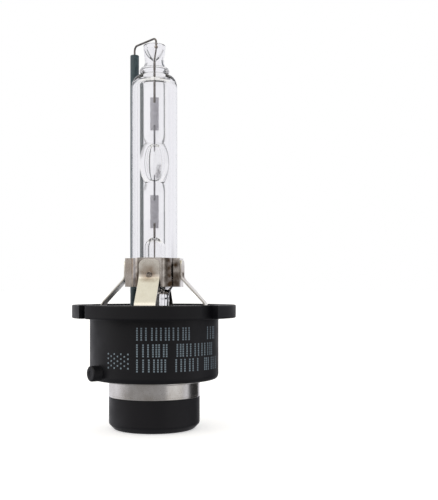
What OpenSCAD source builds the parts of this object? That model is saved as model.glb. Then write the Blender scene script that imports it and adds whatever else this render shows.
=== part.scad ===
// Gas-discharge headlight bulb: a quartz burner in a glass sleeve, held by four
// metal legs over a moulded plastic base with a ring contact and a centre pin.
// The origin is the centre of the flange's top face, and +Z runs up the glass.
// An azimuth is counted clockwise, seen from above, from the front (-Y).

/* [Flange] */
// Diameter of the flange
flange_d = 31.3; // [28:0.1:40]
// Thickness of the flange
flange_t = 2.5; // [1.5:0.1:4]
// Diameter of the round keyhole notch in the flange's rim
keyhole_d = 2.7; // [2:0.1:3.4]
// Width of the keyhole notch's way out through the rim
keyhole_mouth_w = 2.2; // [1.5:0.1:2.6]
// Azimuth of the keyhole notch
keyhole_azimuth = 53; // [40:1:65]
// Width of the wide notch
wide_notch_w = 4; // [2:0.1:6]
// Depth of the wide notch, from the rim
wide_notch_depth = 1.9; // [1:0.1:3]
// Azimuth of the wide notch
wide_notch_azimuth = -44; // [-60:1:-30]
// Width of the raised seat round the flange's top face
seat_w = 3.35; // [2.5:0.05:5]
// Height of the raised seat above the middle of the top face
seat_h = 0.3; // [0.1:0.05:0.8]

/* [Barrel] */
// Diameter of the barrel under the flange
barrel_d = 24.6; // [22:0.1:30]
// Depth of the barrel's underside below the flange's top face
barrel_depth = 14.2; // [11.8:0.1:20]
// Radius of the rounded edge round the underside
barrel_edge_r = 1.1; // [0.3:0.1:2]
// Diameter of the two side pegs
peg_d = 2.9; // [2:0.1:3.6]
// How far a peg stands out of the barrel
peg_reach = 1.75; // [1:0.05:3]
// Height of a peg's axis above the underside
peg_lift = 1.7; // [1.5:0.1:4]
// Azimuth of the first peg; the second is opposite
peg_azimuth = 52; // [40:1:65]
// Diameter of the well that the glass stem stands in
well_d = 7; // [6:0.1:9]
// Depth of the well
well_depth = 6.5; // [4:0.1:9]

/* [Contact ring] */
// Outer diameter of the ring contact and of the socket nose
neck_d = 17.4; // [14:0.1:21]
// Height of the ring contact below the barrel's underside
ring_h = 3.3; // [2.5:0.1:5]
// Wall of the ring contact
ring_wall = 0.4; // [0.3:0.05:0.6]
// How far the ring's lip stands out from the neck, against the underside
lip_reach = 0.85; // [0.5:0.05:1.5]
// Width of the welding tab
tab_w = 5.3; // [4:0.1:6.5]
// How far the welding tab stands out from the neck
tab_reach = 2.7; // [2.1:0.1:3.4]
// Azimuth of the welding tab and of the ceramic tube
return_azimuth = 144; // [130:1:160]

/* [Socket nose] */
// Length of the plastic nose below the ring contact
nose_h = 6.2; // [5:0.1:9]
// Chamfer round the nose's end
nose_chamfer = 1.1; // [0.4:0.1:1.8]
// Wall of the nose round the socket
socket_wall = 2.8; // [2.2:0.1:3.4]
// Depth of the socket from its mouth
socket_depth = 7.4; // [6:0.1:8]
// Diameter of the centre pin
pin_d = 3.8; // [3:0.1:4.4]
// How far the pin's tip lies inside the mouth
pin_recess = 1.4; // [0.6:0.1:2.5]
// Diameter of the insulating collar round the pin's root
collar_d = 6.4; // [5.6:0.1:7.4]
// Height of the insulating collar above the socket's floor
collar_h = 2.6; // [1.5:0.1:3.4]

/* [Legs and clamp] */
// Width of a leg
leg_w = 3.95; // [3:0.1:4.6]
// Thickness of a leg
leg_t = 0.3; // [0.2:0.05:0.45]
// Azimuth of the front leg; the others follow at quarter turns
leg_azimuth = 6; // [0:1:12]
// Height of a leg's top end above the flange
leg_top = 8.5; // [7.5:0.1:10]
// Height of a leg's bend above the flange
leg_bend = 4.9; // [4:0.1:6]
// Radius at which a leg meets the flange
leg_foot_r = 10.2; // [9.4:0.1:10.8]
// Depth that a leg's foot is moulded into the base
leg_anchor = 2.2; // [1.5:0.1:3]
// Height of the clamp band
clamp_h = 5.45; // [4:0.05:6.5]
// Thickness of the clamp band
clamp_t = 0.25; // [0.2:0.05:0.4]
// Distance of the clamp's flat pads from the glass, outside
clamp_pad_gap = 0.9; // [0.75:0.05:1.25]
// Diameter of a weld spot on a leg
weld_d = 1.25; // [0.8:0.05:1.6]

/* [Sleeve] */
// Outer diameter of the glass sleeve
sleeve_d = 8.7; // [7.2:0.1:10.5]
// Wall of the glass sleeve
sleeve_wall = 1; // [0.7:0.05:1.2]
// Height of the sleeve's straight part above the flange
sleeve_top = 41.7; // [34:0.1:51]
// Height at which the sleeve's foot starts to narrow
sleeve_foot_top = 4.6; // [4:0.1:5.2]
// Outer diameter of the sleeve's narrow necks
sleeve_neck_d = 5.6; // [5.2:0.1:6]

/* [Burner] */
// Height of the arc's centre above the flange
light_centre = 27.1; // [24:0.1:30]
// Distance between the electrode tips
arc_gap = 4.2; // [3.6:0.1:4.6]
// Outer diameter of the burner's stems
stem_d = 4.2; // [3.8:0.1:4.6]
// Outer diameter of the burner's bulging chamber
chamber_d = 5.7; // [5.2:0.1:6.1]
// Outer height of the bulging chamber
chamber_h = 7.6; // [7:0.1:9]
// Inner diameter of the chamber
cavity_d = 2.7; // [2.2:0.1:3]
// Inner height of the chamber
cavity_h = 6.6; // [6:0.1:7.2]
// Bore of the burner's open ends
stem_bore_d = 2.8; // [2:0.1:3]
// Length of each foil
foil_l = 6.3; // [5:0.1:7]
// Width of each foil
foil_w = 1.1; // [0.8:0.1:2]
// Thickness of each foil
foil_t = 0.06; // [0.03:0.01:0.1]
// Distance from the light centre to the near end of each foil
foil_gap = 6.2; // [5.6:0.1:7]
// Diameter of the electrode rods
electrode_d = 0.25; // [0.2:0.05:0.5]
// Diameter of the lead wires
lead_d = 0.3; // [0.2:0.05:0.5]

/* [Return lead] */
// Outer diameter of the ceramic tube
ceramic_d = 1.75; // [1.4:0.05:2.2]
// Bore of the ceramic tube
ceramic_bore_d = 0.7; // [0.6:0.05:1]
// Distance of the ceramic tube from the axis
ceramic_r = 7.5; // [7.2:0.1:8]
// Height of the ceramic tube's top above the burner's top
ceramic_proud = -0.3; // [-0.8:0.1:2]
// Depth of the ceramic tube's foot below the flange
ceramic_foot = 9; // [7:0.1:9.5]
// Diameter of the return wire
wire_d = 0.38; // [0.3:0.02:0.5]
// Height of the return wire's level run above the ceramic tube
wire_rise = 1.75; // [1.4:0.05:2.4]
// Radius of the return wire's bends, on its centre line
wire_bend_r = 0.9; // [0.7:0.05:1.2]

/* [Hidden] */
$fn = 96;

fit = 0.03;             // clearance round a piece that drops into another
eps = 0.02;             // overshoot of a cutting tool

// Flange
flange_edge = 0.2;      // chamfer round the rim
keyhole_inset = 1.485;  // from the rim to the keyhole's centre
seat_inner_r = flange_d / 2 - seat_w;

// Heights of the base's steps, downwards from the flange's top face at zero
under_z = -barrel_depth;
ring_bottom_z = under_z - ring_h;
mouth_z = ring_bottom_z - nose_h;
floor_z = mouth_z + socket_depth;
lip_t = ring_wall;
lip_bottom_z = under_z - lip_t;
neck_wall_r = neck_d / 2;
lip_r = neck_wall_r + lip_reach;
spigot_h = 2.2;
spigot_step = 0.9;
spigot_r = neck_wall_r - ring_wall - spigot_step;
lead_gap = 0.15;
lead_bore_d = lead_d + 2 * lead_gap;

// Welding tab, raised into its pocket, and the wire's run to it
tab_r = neck_wall_r + tab_reach;
tab_lift = 0.35;
tab_z = under_z + tab_lift;
tab_notch_w = 0.7;
tab_notch_l = 0.9;
tab_notch_r = tab_r - tab_notch_l;
tab_weld_d = 1.3;
tab_weld_h = 0.4;
riser_r = neck_wall_r + 0.25;
pocket_depth = 1.4;
pocket_gap = 0.4;
pocket_w = tab_w + 2 * pocket_gap;
pocket_r = tab_r + pocket_gap;
pocket_inner_r = lip_r - 0.8;
channel_w = 1.4;
jog_drop = 1.4;
jog_z = -ceramic_foot - jog_drop;

// Centre pin
pin_tip_z = mouth_z + pin_recess;
pin_edge = 0.45;
pin_shank_d = pin_d - 0.4;
pin_root_h = 1.2;
pin_root_d = pin_d + 1.4;
dimple_d = 1.7;
dimple_depth = 0.5;
dimple_floor = 0.1;     // from the dimple's floor to the lead's end
socket_r = neck_wall_r - socket_wall;
mouth_edge = 0.3;
key_w = 2.6;
key_azimuths = [80, 172];
key_inner_r = 3;
key_recess = 2;

// Leg: a flat strip with one bend, from its top to its moulded-in foot
sleeve_r = sleeve_d / 2;
clamp_pad_r = sleeve_r + clamp_pad_gap;
leg_inner_r = clamp_pad_r;
leg_outer_r = leg_inner_r + leg_t;
leg_corner_r = 0.9;
leg_slope = atan2(leg_foot_r - leg_t - leg_inner_r, leg_bend);
leg_bend_rise = leg_t * tan(leg_slope / 2);
weld_z = leg_bend + leg_bend_rise + weld_d / 2;
weld_h = 0.16;

// Clamp band: round, with four flat pads that the legs are welded to
clamp_rise = 0.35;      // of the clamp's top above the legs' top ends
clamp_top = leg_top + clamp_rise;
clamp_bottom = clamp_top - clamp_h;
pad_margin = 0.3;
pad_w = leg_w + 2 * pad_margin;
seam_azimuth = -50;
seam_w = 0.15;
seam_slot_w = 0.5;
seam_slot_h = 3;

// Sleeve
sleeve_bore_r = sleeve_r - sleeve_wall;
shoulder_h = 2.2;
neck_r = sleeve_neck_d / 2;
bead_r = neck_r + 0.05;
bead_h = 1.5;
bead_lift = 0.1;
shoulder_inset = 0.4;   // from the stem to where the shoulder's inside turns up
neck_bottom_z = -3;
foot_h = 2.4;

// Burner
stem_r = stem_d / 2;
bore_r = stem_bore_d / 2;
seal_z = sleeve_top + shoulder_h;
bead_top_z = seal_z + bead_h;
flare_r = 2.15;
flare_wall = 0.55;
flare_edge_h = 0.8;
flare_edge_r = 0.1;
flare_land = 0.6;       // depth of the straight part of the flare's mouth
flare_top_z = bead_top_z + 4.4;
flare_foot_z = bead_top_z + 1.1;
waist_r = stem_r - 0.35;
cone_foot_z = flare_foot_z + 0.2;
upper_foil_z = light_centre + foil_gap;
lower_foil_z = light_centre - foil_gap - foil_l;
open_end_z = lower_foil_z - 1.7;
open_dome_h = bore_r * 1.4;
stem_foot_z = neck_bottom_z - 1.5;
foil_lap = 1;
salts_t = 0.12;
salts_from = -80;
salts_span = 150;
salts_steps = [2:7];    // steps of the cavity's outline that the salts cover
cavity_steps = 16;

// Return lead
ceramic_top = flare_top_z + ceramic_proud;
wire_top_z = ceramic_top + wire_rise;
joint_z = flare_top_z - 0.35;
joint_d = 0.7;
joint_h = 0.8;
lead_lean = 8;
lead_bend_r = 1;
leaning_l = (joint_z - joint_h / 2 - cone_foot_z - lead_bend_r * sin(lead_lean)) / cos(lead_lean);
joint_lean = lead_bend_r * (1 - cos(lead_lean)) + leaning_l * sin(lead_lean);
tube_xy = ceramic_r * [-sin(return_azimuth), -cos(return_azimuth)];

// Turns and moves its children to an azimuth, outwards from the front
module at_azimuth(a, r = 0) {
    rotate([0, 0, -a]) translate([0, -r, 0]) children();
}

// A solid between two points on the Z axis
module between(z0, z1) {
    translate([0, 0, z0]) linear_extrude(z1 - z0) children();
}

// A straight rod from one height to another
module rod(d, z0, z1) {
    between(z0, z1) circle(d = d, $fn = 32);
}

// ---- Plastic base

module flange_notches() {
    at_azimuth(keyhole_azimuth, flange_d / 2 - keyhole_inset) {
        between(-flange_t - eps, eps) circle(d = keyhole_d);
        translate([-keyhole_mouth_w / 2, -keyhole_d, -flange_t - eps])
            cube([keyhole_mouth_w, keyhole_d, flange_t + 2 * eps]);
    }
    at_azimuth(wide_notch_azimuth, flange_d / 2 - wide_notch_depth)
        translate([-wide_notch_w / 2, -2 * wide_notch_depth, -flange_t - eps])
            cube([wide_notch_w, 2 * wide_notch_depth, flange_t + 2 * eps]);
}

// Outline of the flange and the barrel on one side of the axis
module base_outline() {
    c = flange_edge;
    r = barrel_d / 2;
    e = barrel_edge_r;
    polygon(concat(
        [[0, -seat_h], [seat_inner_r, -seat_h], [seat_inner_r, 0]],
        [[flange_d / 2 - c, 0], [flange_d / 2, -c]],
        [[flange_d / 2, -flange_t + c], [flange_d / 2 - c, -flange_t], [r, -flange_t]],
        [for (a = [0:15:90]) [r - e + e * cos(a), under_z + e - e * sin(a)]],
        [[0, under_z]]
    ));
}

module pegs() {
    for (a = [peg_azimuth, peg_azimuth + 180])
        at_azimuth(a)
            translate([0, 0, under_z + peg_lift])
                rotate([90, 0, 0])
                    cylinder(d = peg_d, h = barrel_d / 2 + peg_reach, $fn = 48);
}

module base_body() {
    color([0.13, 0.13, 0.14])
    difference() {
        union() {
            rotate_extrude() base_outline();
            intersection() {
                pegs();
                between(under_z - eps, -flange_t) circle(d = flange_d);
            }
        }
        flange_notches();
        between(-well_depth, eps) circle(d = well_d);
        between(under_z - eps, -well_depth + eps) circle(d = lead_bore_d, $fn = 32);
        between(under_z - eps, under_z + spigot_h) circle(r = spigot_r);
        at_azimuth(return_azimuth, ceramic_r) between(-ceramic_foot, eps) circle(d = ceramic_d + 2 * fit);
        at_azimuth(return_azimuth) {
            translate([-channel_w / 2, -tab_notch_r - channel_w / 2, under_z - eps])
                cube([channel_w, tab_notch_r - ceramic_r + channel_w, barrel_depth - ceramic_foot + 2 * eps]);
            translate([-pocket_w / 2, -pocket_r, under_z - eps])
                cube([pocket_w, pocket_r - pocket_inner_r, pocket_depth + eps]);
        }
        for (i = [0:3]) leg(i);
    }
}

// ---- Legs and clamp

// Side outline of a leg: X outwards from the axis, Y up
module leg_side() {
    polygon([
        [leg_inner_r, leg_top],
        [leg_inner_r, leg_bend],
        [leg_foot_r - leg_t, 0],
        [leg_foot_r - leg_t, -leg_anchor],
        [leg_foot_r, -leg_anchor],
        [leg_foot_r, leg_bend_rise],
        [leg_outer_r, leg_bend + leg_bend_rise],
        [leg_outer_r, leg_top]
    ]);
}

// Front outline of a leg: a strip with two rounded top corners
module leg_front_outline() {
    w = leg_w / 2;
    c = leg_corner_r;
    polygon(concat(
        [[-w, -leg_anchor - eps], [w, -leg_anchor - eps]],
        [for (a = [0:15:90]) [w - c + c * cos(a), leg_top - c + c * sin(a)]],
        [for (a = [90:15:180]) [-w + c + c * cos(a), leg_top - c + c * sin(a)]]
    ));
}

module leg(i) {
    color([0.86, 0.84, 0.78])
    at_azimuth(leg_azimuth + 90 * i)
        intersection() {
            rotate([90, 0, -90])
                translate([0, 0, -leg_w])
                    linear_extrude(2 * leg_w) leg_side();
            translate([0, eps, 0])
                rotate([90, 0, 0])
                    linear_extrude(leg_foot_r + 1) leg_front_outline();
        }
}

module leg_welds() {
    color([0.35, 0.3, 0.27])
    for (i = [0:3])
        at_azimuth(leg_azimuth + 90 * i, leg_outer_r)
            translate([0, 0, weld_z])
                rotate([90, 0, 0])
                    cylinder(d = weld_d, h = weld_h, $fn = 32);
}

// Plan outline of the clamp band at a distance inside its outer face
module clamp_plan(inset) {
    union() {
        circle(r = sleeve_r + clamp_t + fit - inset);
        for (i = [0:3])
            rotate([0, 0, -leg_azimuth - 90 * i])
                translate([-pad_w / 2 + inset, -clamp_pad_r + inset])
                    square([pad_w - 2 * inset, clamp_pad_r - inset]);
    }
}

module clamp_ring() {
    color([0.6, 0.57, 0.54])
    difference() {
        between(clamp_bottom, clamp_top) clamp_plan(0);
        between(clamp_bottom - eps, clamp_top + eps) clamp_plan(clamp_t);
        at_azimuth(seam_azimuth) {
            translate([-seam_w / 2, -clamp_pad_r, clamp_bottom - eps])
                cube([seam_w, clamp_pad_r, clamp_h + 2 * eps]);
            translate([-seam_slot_w / 2, -clamp_pad_r, (clamp_top + clamp_bottom - seam_slot_h) / 2])
                cube([seam_slot_w, clamp_pad_r, seam_slot_h]);
        }
    }
}

// ---- Glass

// Points of an arc about a centre, from one angle to another
function arc(cx, cy, rx, ry, a0, a1, n) =
    [for (i = [0:n]) let (a = a0 + (a1 - a0) * i / n) [cx + rx * cos(a), cy + ry * sin(a)]];

module outer_sleeve() {
    foot_z = sleeve_foot_top - foot_h;
    turn_r = stem_r + shoulder_inset;
    top_in_z = seal_z - sleeve_wall;
    bottom_in_z = foot_z + sleeve_wall;
    color([0.9, 0.93, 0.96, 0.35])
    rotate_extrude()
        polygon(concat(
            [[stem_r, neck_bottom_z], [neck_r, neck_bottom_z], [neck_r, foot_z]],
            [[sleeve_r, sleeve_foot_top]],
            arc(neck_r, sleeve_top, sleeve_r - neck_r, shoulder_h, 0, 80, 8),
            arc(bead_r - bead_h / 2, seal_z + bead_h / 2 + bead_lift, bead_h / 2, bead_h / 2, -60, 75, 6),
            [[stem_r, bead_top_z], [stem_r, top_in_z]],
            arc(turn_r, sleeve_top, sleeve_bore_r - turn_r, shoulder_h - sleeve_wall, 90, 0, 8),
            [[sleeve_bore_r, sleeve_foot_top + sleeve_wall / 3], [stem_r, bottom_in_z]]
        ));
}

// Outer outline of the burner, from the foot to the flared top
module burner_outline() {
    c = light_centre;
    polygon(concat(
        [[0, stem_foot_z], [stem_r, stem_foot_z]],
        [[stem_r, c - chamber_h / 2]],
        [for (i = [1:15]) let (t = i / 16)
            [stem_r + (chamber_d / 2 - stem_r) * sin(180 * t), c - chamber_h / 2 + chamber_h * t]],
        [[stem_r, c + chamber_h / 2], [stem_r, bead_top_z], [waist_r, flare_foot_z]],
        [[flare_r - flare_edge_r, flare_top_z - flare_edge_h], [flare_r, flare_top_z], [0, flare_top_z]]
    ));
}

// A point of the cavity's outline, at a step up it and a distance inside it
function cavity_point(i, inset = 0) =
    let (a = -90 + 180 * i / cavity_steps)
    [cavity_d / 2 * pow(cos(a), 0.75) - inset, light_centre + cavity_h / 2 * sin(a)];

module cavity_outline() {
    polygon(concat([[0, light_centre - cavity_h / 2]],
        [for (i = [1:cavity_steps - 1]) cavity_point(i)],
        [[0, light_centre + cavity_h / 2]]));
}

module arc_tube() {
    mouth_r = flare_r - flare_wall;
    color([0.88, 0.92, 0.97, 0.35])
    difference() {
        rotate_extrude() burner_outline();
        rotate_extrude() cavity_outline();
        rotate_extrude()
            polygon(concat([[0, stem_foot_z - eps], [bore_r, stem_foot_z - eps]],
                arc(0, open_end_z - open_dome_h, bore_r, open_dome_h, 0, 90, 8)));
        rotate_extrude()
            polygon([[0, cone_foot_z], [lead_d / 2, cone_foot_z],
                [mouth_r, flare_top_z - flare_land], [mouth_r, flare_top_z + eps],
                [0, flare_top_z + eps]]);
        upper_foil();
        lower_foil();
        upper_electrode();
        lower_electrode();
        rod(lead_d, open_end_z - open_dome_h, lower_foil_z + foil_lap);
        rod(lead_d, upper_foil_z + foil_l - foil_lap, cone_foot_z + eps);
    }
}

// ---- Burner's metal

module foil(z) {
    color([0.55, 0.55, 0.6])
    difference() {
        translate([-foil_w / 2, -foil_t / 2, z]) cube([foil_w, foil_t, foil_l]);
        rod(lead_d, z - eps, z + foil_lap + eps);
        rod(electrode_d, z + foil_l - foil_lap, z + foil_l + eps);
    }
}

module lower_foil() { foil(lower_foil_z); }

module upper_foil() {
    translate([0, 0, 2 * light_centre]) mirror([0, 0, 1]) foil(lower_foil_z);
}

module upper_electrode() {
    color([0.3, 0.3, 0.32])
        rod(electrode_d, light_centre + arc_gap / 2, upper_foil_z + foil_lap);
}

module lower_electrode() {
    color([0.3, 0.3, 0.32])
        rod(electrode_d, lower_foil_z + foil_l - foil_lap, light_centre - arc_gap / 2);
}

module upper_lead() {
    color([0.35, 0.35, 0.37]) {
        rod(lead_d, upper_foil_z + foil_l - foil_lap, cone_foot_z);
        translate([lead_bend_r, 0, cone_foot_z]) {
            rotate([90, 0, 0])
                rotate([0, 0, 180 - lead_lean])
                    rotate_extrude(angle = lead_lean)
                        translate([lead_bend_r, 0]) circle(d = lead_d, $fn = 32);
            rotate([0, lead_lean, 0])
                translate([-lead_bend_r, 0, 0]) rod(lead_d, 0, leaning_l);
        }
    }
}

module lower_lead() {
    color([0.35, 0.35, 0.37])
        rod(lead_d, pin_tip_z + dimple_depth + dimple_floor, lower_foil_z + foil_lap);
}

module halide_salts() {
    wall = [for (i = salts_steps) cavity_point(i)];
    face = [for (i = salts_steps) cavity_point(i, salts_t)];
    color([0.6, 0.6, 0.58])
    rotate([0, 0, salts_from])
        rotate_extrude(angle = salts_span)
            polygon(concat(wall, [for (i = [len(face) - 1:-1:0]) face[i]]));
}

// ---- Return lead

module ceramic_tube() {
    color([0.25, 0.36, 0.39])
    at_azimuth(return_azimuth, ceramic_r)
        between(-ceramic_foot, ceramic_top)
            difference() {
                circle(d = ceramic_d);
                circle(d = ceramic_bore_d, $fn = 48);
            }
}

// A quarter bend in the XZ plane, turning about the origin from one angle
module bend(a0) {
    rotate([90, 0, 0])
        rotate([0, 0, a0])
            rotate_extrude(angle = 90) translate([wire_bend_r, 0]) circle(d = wire_d, $fn = 32);
}

// A level rod along X, at a height
module level_rod(x0, x1, z) {
    translate([x0, 0, z]) rotate([0, 90, 0]) cylinder(d = wire_d, h = x1 - x0, $fn = 32);
}

module return_wire() {
    b = wire_bend_r;
    run = norm(tube_xy - [joint_lean, 0]);
    heading = atan2(tube_xy.y, tube_xy.x - joint_lean);
    outwards = atan2(tube_xy.y, tube_xy.x);
    jog = tab_notch_r - ceramic_r;
    color([0.3, 0.28, 0.28])
    translate([joint_lean, 0, 0])
        rotate([0, 0, heading]) {
            rod(wire_d, joint_z + joint_h / 2, wire_top_z - b);
            translate([b, 0, wire_top_z - b]) bend(90);
            level_rod(b, run - b, wire_top_z);
            translate([run - b, 0, wire_top_z - b]) bend(0);
            translate([run, 0, 0]) {
                rod(wire_d, jog_z + b, wire_top_z - b);
                rotate([0, 0, outwards - heading]) {
                    translate([b, 0, jog_z + b]) bend(180);
                    level_rod(b, jog - b, jog_z);
                    translate([jog - b, 0, jog_z - b]) bend(0);
                    translate([jog, 0, 0]) rod(wire_d, tab_z, jog_z - b);
                }
            }
        }
}

// A solid bead round the Z axis, between two heights
module bead(d, z0, z1) {
    h = (z1 - z0) / 2;
    translate([0, 0, z0 + h])
        rotate_extrude($fn = 48) polygon(arc(0, 0, d / 2, h, -90, 90, 10));
}

module wire_joint() {
    color([0.35, 0.33, 0.33])
    translate([joint_lean, 0, 0]) bead(joint_d, joint_z - joint_h / 2, joint_z + joint_h / 2);
}

// ---- Ring contact

module contact_ring() {
    r = neck_wall_r;
    color([0.8, 0.78, 0.75]) {
        rotate_extrude()
            polygon([
                [r - ring_wall, ring_bottom_z], [r, ring_bottom_z], [r, lip_bottom_z],
                [lip_r, lip_bottom_z], [lip_r, under_z], [r - ring_wall, under_z]
            ]);
        at_azimuth(return_azimuth)
            difference() {
                union() {
                    translate([-tab_w / 2, -tab_r, tab_z]) cube([tab_w, tab_r - riser_r, lip_t]);
                    translate([-tab_w / 2, -riser_r - lip_t, lip_bottom_z + eps])
                        cube([tab_w, lip_t, tab_z - lip_bottom_z]);
                }
                translate([-tab_notch_w / 2, -tab_r - eps, tab_z - eps])
                    cube([tab_notch_w, tab_r - tab_notch_r + eps, lip_t + 2 * eps]);
                at_azimuth(0, tab_notch_r) rod(tab_notch_w, tab_z - eps, tab_z + lip_t + eps);
            }
    }
}

module tab_weld() {
    color([0.5, 0.48, 0.45])
    at_azimuth(return_azimuth, tab_notch_r)
        intersection() {
            bead(tab_weld_d, tab_z - tab_weld_h, tab_z + tab_weld_h);
            rod(2 * tab_weld_d, tab_z - tab_weld_h, tab_z);
        }
}

// ---- Socket nose and centre pin

module nose_outline() {
    r = neck_wall_r;
    c = nose_chamfer;
    s = socket_r;
    neck = r - ring_wall - fit;
    polygon(concat(
        [[s, floor_z], [s, mouth_z + mouth_edge], [s + mouth_edge, mouth_z]],
        [for (a = [-90:15:0]) [r - c + c * cos(a), mouth_z + c + c * sin(a)]],
        [[r, ring_bottom_z], [neck, ring_bottom_z], [neck, under_z]],
        [[spigot_r - fit, under_z], [spigot_r - fit, under_z + spigot_h]],
        [[0, under_z + spigot_h], [0, floor_z]]
    ));
}

module socket_nose() {
    color([0.12, 0.12, 0.13])
    difference() {
        union() {
            rotate_extrude() nose_outline();
            rod(collar_d, floor_z - collar_h, floor_z + eps);
            for (a = key_azimuths)
                at_azimuth(a)
                    difference() {
                        translate([-key_w / 2, -socket_r - eps, mouth_z + key_recess])
                            cube([key_w, socket_r - key_inner_r, socket_depth - key_recess + eps]);
                        rod(2 * key_inner_r, mouth_z, floor_z - collar_h);
                    }
        }
        pin_solid();
        between(floor_z, under_z + spigot_h + eps) circle(d = lead_bore_d, $fn = 32);
    }
}

// The centre pin without its bore
module pin_solid() {
    r = pin_d / 2;
    collar_z = floor_z - collar_h;
    rotate_extrude()
        polygon([
            [0, pin_tip_z], [r - pin_edge, pin_tip_z], [r, pin_tip_z + pin_edge], [r, collar_z],
            [pin_shank_d / 2, collar_z], [pin_shank_d / 2, floor_z],
            [pin_root_d / 2, floor_z], [pin_root_d / 2, floor_z + pin_root_h], [0, floor_z + pin_root_h]
        ]);
}

module contact_pin() {
    color([0.75, 0.74, 0.73])
    difference() {
        pin_solid();
        between(pin_tip_z - eps, floor_z + pin_root_h + eps) circle(d = lead_bore_d, $fn = 32);
        between(pin_tip_z - eps, pin_tip_z + dimple_depth) circle(d = dimple_d, $fn = 48);
    }
}

module pin_weld() {
    color([0.6, 0.58, 0.55])
    intersection() {
        bead(dimple_d - 2 * fit, pin_tip_z, pin_tip_z + 2 * dimple_depth);
        between(pin_tip_z - eps, pin_tip_z + dimple_depth) circle(d = dimple_d, $fn = 48);
    }
}

base_body();
leg(0);  // leg_front
leg(1);  // leg_left
leg(2);  // leg_rear
leg(3);  // leg_right
clamp_ring();
leg_welds();
outer_sleeve();
arc_tube();
upper_electrode();
lower_electrode();
upper_foil();
lower_foil();
upper_lead();
lower_lead();
halide_salts();
return_wire();
wire_joint();
ceramic_tube();
contact_ring();
tab_weld();
socket_nose();
contact_pin();
pin_weld();
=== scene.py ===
"""Studio model of a gas-discharge headlight bulb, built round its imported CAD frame.

The origin is the centre of the flange's top face, +Z runs up the glass and the front faces -Y.
Sizes in the classes are millimetres, and an azimuth is counted clockwise, seen from above, from the
front. Heights and radii that the frame holds are read from its boxes.
"""

from __future__ import annotations

import logging
import math
import random
from dataclasses import dataclass, field
from enum import Enum
from typing import Callable, Iterable, Sequence

import bpy
from bpy.types import Material, Node, NodeSocket, NodeTree, Object
from mathutils import Matrix, Vector

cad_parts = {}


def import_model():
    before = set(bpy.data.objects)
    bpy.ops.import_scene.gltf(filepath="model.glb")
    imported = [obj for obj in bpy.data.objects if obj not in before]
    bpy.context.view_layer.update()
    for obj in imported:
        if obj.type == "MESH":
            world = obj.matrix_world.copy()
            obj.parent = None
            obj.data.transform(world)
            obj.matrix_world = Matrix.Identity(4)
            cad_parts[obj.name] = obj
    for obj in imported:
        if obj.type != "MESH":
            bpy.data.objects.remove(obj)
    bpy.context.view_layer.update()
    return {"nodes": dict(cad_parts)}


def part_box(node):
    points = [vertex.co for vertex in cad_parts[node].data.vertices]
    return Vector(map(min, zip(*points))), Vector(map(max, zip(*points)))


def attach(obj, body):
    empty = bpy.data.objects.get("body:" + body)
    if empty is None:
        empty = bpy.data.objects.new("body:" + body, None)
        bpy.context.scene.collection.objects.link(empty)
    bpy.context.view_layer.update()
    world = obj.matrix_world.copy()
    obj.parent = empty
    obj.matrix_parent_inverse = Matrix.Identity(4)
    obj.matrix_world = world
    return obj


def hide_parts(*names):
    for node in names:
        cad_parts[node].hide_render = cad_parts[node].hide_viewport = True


MM = 0.001
BODY = "root"
TURN_STEPS = 128
CORNER_STEPS = 6
MERGE_DISTANCE = 1e-6
SMOOTH_ANGLE = math.radians(38)
FULL_TURN = 2 * math.pi
Z_AXIS = (0, 0, 1)
FLOAT = "NodeSocketFloat"
VECTOR = "NodeSocketVector"
LAID_FORWARD = Matrix.Rotation(math.radians(90), 4, "X")

log = logging.getLogger("bulb")

Point = tuple[float, float]
Corner = tuple[float, float, float]
Color = tuple[float, float, float]


# ---------------------------------------------------------------- geometry helpers


def azimuth_vector(azimuth: float, radius: float = 1.0) -> Vector:
    """Points outwards, level, at an azimuth.

    Args:
        azimuth: Degrees clockwise from the front, seen from above.
        radius: The vector's length.

    Returns:
        The vector.
    """
    a = math.radians(azimuth)
    return Vector((-math.sin(a), -math.cos(a), 0.0)) * radius


def turned_to(azimuth: float) -> Matrix:
    """Returns the rotation that takes the front to an azimuth."""
    return Matrix.Rotation(-math.radians(azimuth), 4, "Z")


def rounded(corners: Sequence[Corner], steps: int = 5, closed: bool = False) -> list[Point]:
    """Rounds the corners of an outline.

    Args:
        corners: First and second coordinate of each corner, and the length that its rounding
            takes from each side.
        steps: Segments of each rounded corner.
        closed: Whether the last corner joins the first.

    Returns:
        The outline's points.
    """
    points: list[Point] = []
    count = len(corners)
    for i, (x, y, cut) in enumerate(corners):
        inside = closed or 0 < i < count - 1
        if cut <= 0 or not inside:
            points.append((x, y))
            continue
        here = Vector((x, y))
        before = Vector(corners[i - 1][:2]) - here
        after = Vector(corners[(i + 1) % count][:2]) - here
        start = here + before.normalized() * min(cut, before.length * 0.49)
        end = here + after.normalized() * min(cut, after.length * 0.49)
        for k in range(steps + 1):
            t = k / steps
            p = start * (1 - t) ** 2 + here * 2 * t * (1 - t) + end * t**2
            points.append((p.x, p.y))
    return points


def arc(
    cx: float, cy: float, rx: float, ry: float, a0: float, a1: float, steps: int
) -> list[Corner]:
    """Returns the corners of an elliptical arc between two angles, in degrees."""
    out: list[Corner] = []
    for k in range(steps + 1):
        a = math.radians(a0 + (a1 - a0) * k / steps)
        out.append((cx + rx * math.cos(a), cy + ry * math.sin(a), 0.0))
    return out


def edit_mesh() -> None:
    """Enters edit mode."""
    bpy.ops.object.mode_set(mode="EDIT")


def leave_mesh() -> None:
    """Leaves edit mode."""
    bpy.ops.object.mode_set(mode="OBJECT")


def select_mesh() -> None:
    """Selects the whole mesh, in edit mode."""
    bpy.ops.mesh.select_all(action="SELECT")


def clear_selection() -> None:
    """Leaves edit mode and deselects every object."""
    if bpy.context.object and bpy.context.object.mode != "OBJECT":
        leave_mesh()
    bpy.ops.object.select_all(action="DESELECT")


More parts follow.
